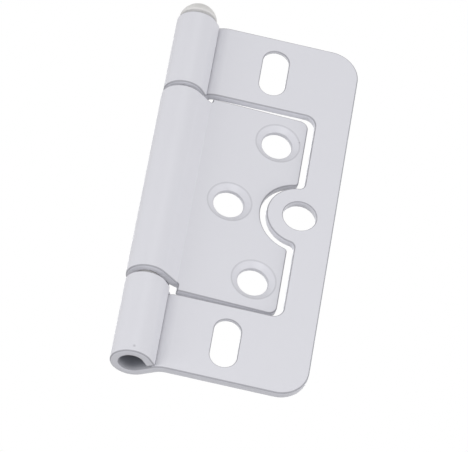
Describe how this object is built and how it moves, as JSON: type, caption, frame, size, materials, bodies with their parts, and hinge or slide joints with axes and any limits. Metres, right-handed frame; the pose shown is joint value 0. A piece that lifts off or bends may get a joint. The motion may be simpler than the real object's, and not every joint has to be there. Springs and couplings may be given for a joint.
{
  "type": "flush hinge",
  "caption": "Flush hinge of folded sheet steel: the inner leaf nests in the frame leaf's window and swings on a pin with a domed head.",
  "frame": {"origin": "on the frame leaf's seat, its -Y face, at mid height, on the strip between the round hole and the outer edge", "axes": "+Z along the pin towards its head, +X from the pin towards the leaves' outer edges, -Y out of the frame leaf's seat"},
  "size_m": [0.0345, 0.0078, 0.0788],
  "materials": {
    "frame_leaf_paint": "satin white powder coat on steel",
    "inner_leaf_paint": "satin white powder coat on steel",
    "hinge_pin_paint": "satin white powder coat on steel"
  },
  "bodies": {
    "frame_side": {"frame_leaf": "frame_leaf_paint", "hinge_pin": "hinge_pin_paint"},
    "door_side": {"inner_leaf": "inner_leaf_paint"}
  },
  "joints": [
    {"name": "pin_hinge", "type": "hinge", "parent": "frame_side", "child": "door_side", "pos_m": [-0.02901, 0.0008, 0], "axis": [0, 0, 1], "range_deg": [-2.5, 177.5]}
  ]
}
